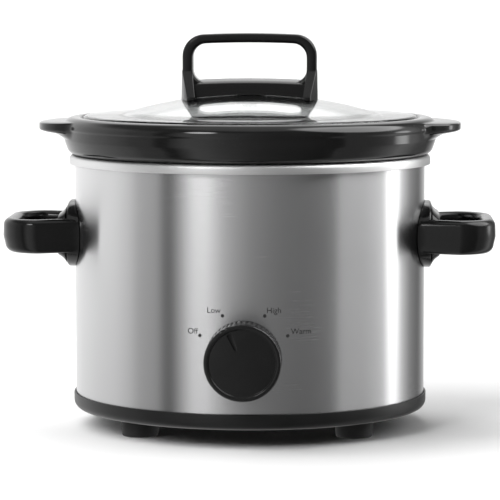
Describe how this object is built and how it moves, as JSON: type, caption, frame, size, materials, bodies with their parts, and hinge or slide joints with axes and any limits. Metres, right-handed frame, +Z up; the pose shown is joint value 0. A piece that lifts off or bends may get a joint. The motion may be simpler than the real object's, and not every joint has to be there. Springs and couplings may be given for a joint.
{
  "type": "slow cooker",
  "caption": "Round electric slow cooker: steel body with a lift-out stoneware crock, domed glass lid, rotary heat switch, side handles and rubber feet.",
  "frame": {"origin": "middle of the footprint, on the surface that the feet stand on; the body's axis is 6.5 mm behind it, because the knob stands out in front", "axes": "+Z up; -Y to the front, where the knob is; +X to the right seen from the front, through the side handles"},
  "size_m": [0.28, 0.227, 0.2244],
  "materials": {
    "shell_steel": "stainless steel, finely brushed round the body",
    "well_steel": "satin aluminised steel",
    "plated_steel": "bright zinc-plated steel",
    "contact_brass": "stamped brass",
    "base_plastic": "black moulded plastic with a low sheen",
    "gloss_plastic": "black moulded phenolic, polished",
    "switch_phenolic": "brown moulded phenolic",
    "foot_rubber": "black moulded rubber",
    "gasket_silicone": "translucent white silicone",
    "lead_insulation": "off-white glass-braid insulation",
    "heater_mica": "pressed mica sheet",
    "crock_glaze": "black gloss glaze on stoneware",
    "lid_glass": "clear tempered glass with a ground edge"
  },
  "bodies": {
    "cooker": {"base_pan": "base_plastic", "foot_front_left": "foot_rubber", "foot_front_right": "foot_rubber", "foot_rear_left": "foot_rubber", "foot_rear_right": "foot_rubber", "outer_shell": "shell_steel", "heating_well": "well_steel", "heater_band": "heater_mica", "heater_strap": "plated_steel", "strap_screw": "plated_steel", "strap_nut": "plated_steel", "heater_terminal_left": "contact_brass", "heater_terminal_right": "contact_brass", "thermal_fuse": "lead_insulation", "fuse_clip": "plated_steel", "tie_rod": "plated_steel", "base_washer": "plated_steel", "base_nut": "plated_steel", "side_handle_left": "gloss_plastic", "handle_plate_left": "plated_steel", "handle_screw_left_lower": "plated_steel", "handle_screw_left_upper": "plated_steel", "side_handle_right": "gloss_plastic", "handle_plate_right": "plated_steel", "handle_screw_right_lower": "plated_steel", "handle_screw_right_upper": "plated_steel", "switch_housing": "switch_phenolic", "switch_cover": "switch_phenolic", "switch_tab_low": "contact_brass", "switch_tab_live": "contact_brass", "switch_tab_high": "contact_brass", "switch_screw_left": "plated_steel", "switch_screw_right": "plated_steel", "cord_gland": "foot_rubber", "gland_clip": "base_plastic", "lead_live": "lead_insulation", "lead_neutral": "lead_insulation", "lead_low": "lead_insulation", "lead_high": "lead_insulation"},
    "crock": {"crock": "crock_glaze"},
    "lid": {"glass_lid": "lid_glass", "lid_handle": "gloss_plastic", "lid_gasket": "gasket_silicone", "lid_washer": "plated_steel", "lid_screw": "plated_steel"},
    "knob": {"control_knob": "gloss_plastic", "knob_clip": "plated_steel", "switch_rotor": "base_plastic"}
  },
  "joints": [
    {"name": "crock_lift", "type": "slide", "parent": "cooker", "child": "crock", "axis": [0, 0, 1], "range_m": [0, 0.11]},
    {"name": "lid_lift", "type": "slide", "parent": "crock", "child": "lid", "axis": [0, 0, 1], "range_m": [0, 0.06]},
    {"name": "knob_turn", "type": "hinge", "parent": "cooker", "child": "knob", "pos_m": [0, -0.1035, 0.05], "axis": [0, 1, 0], "range_deg": [-34.5, 82.5]}
  ]
}
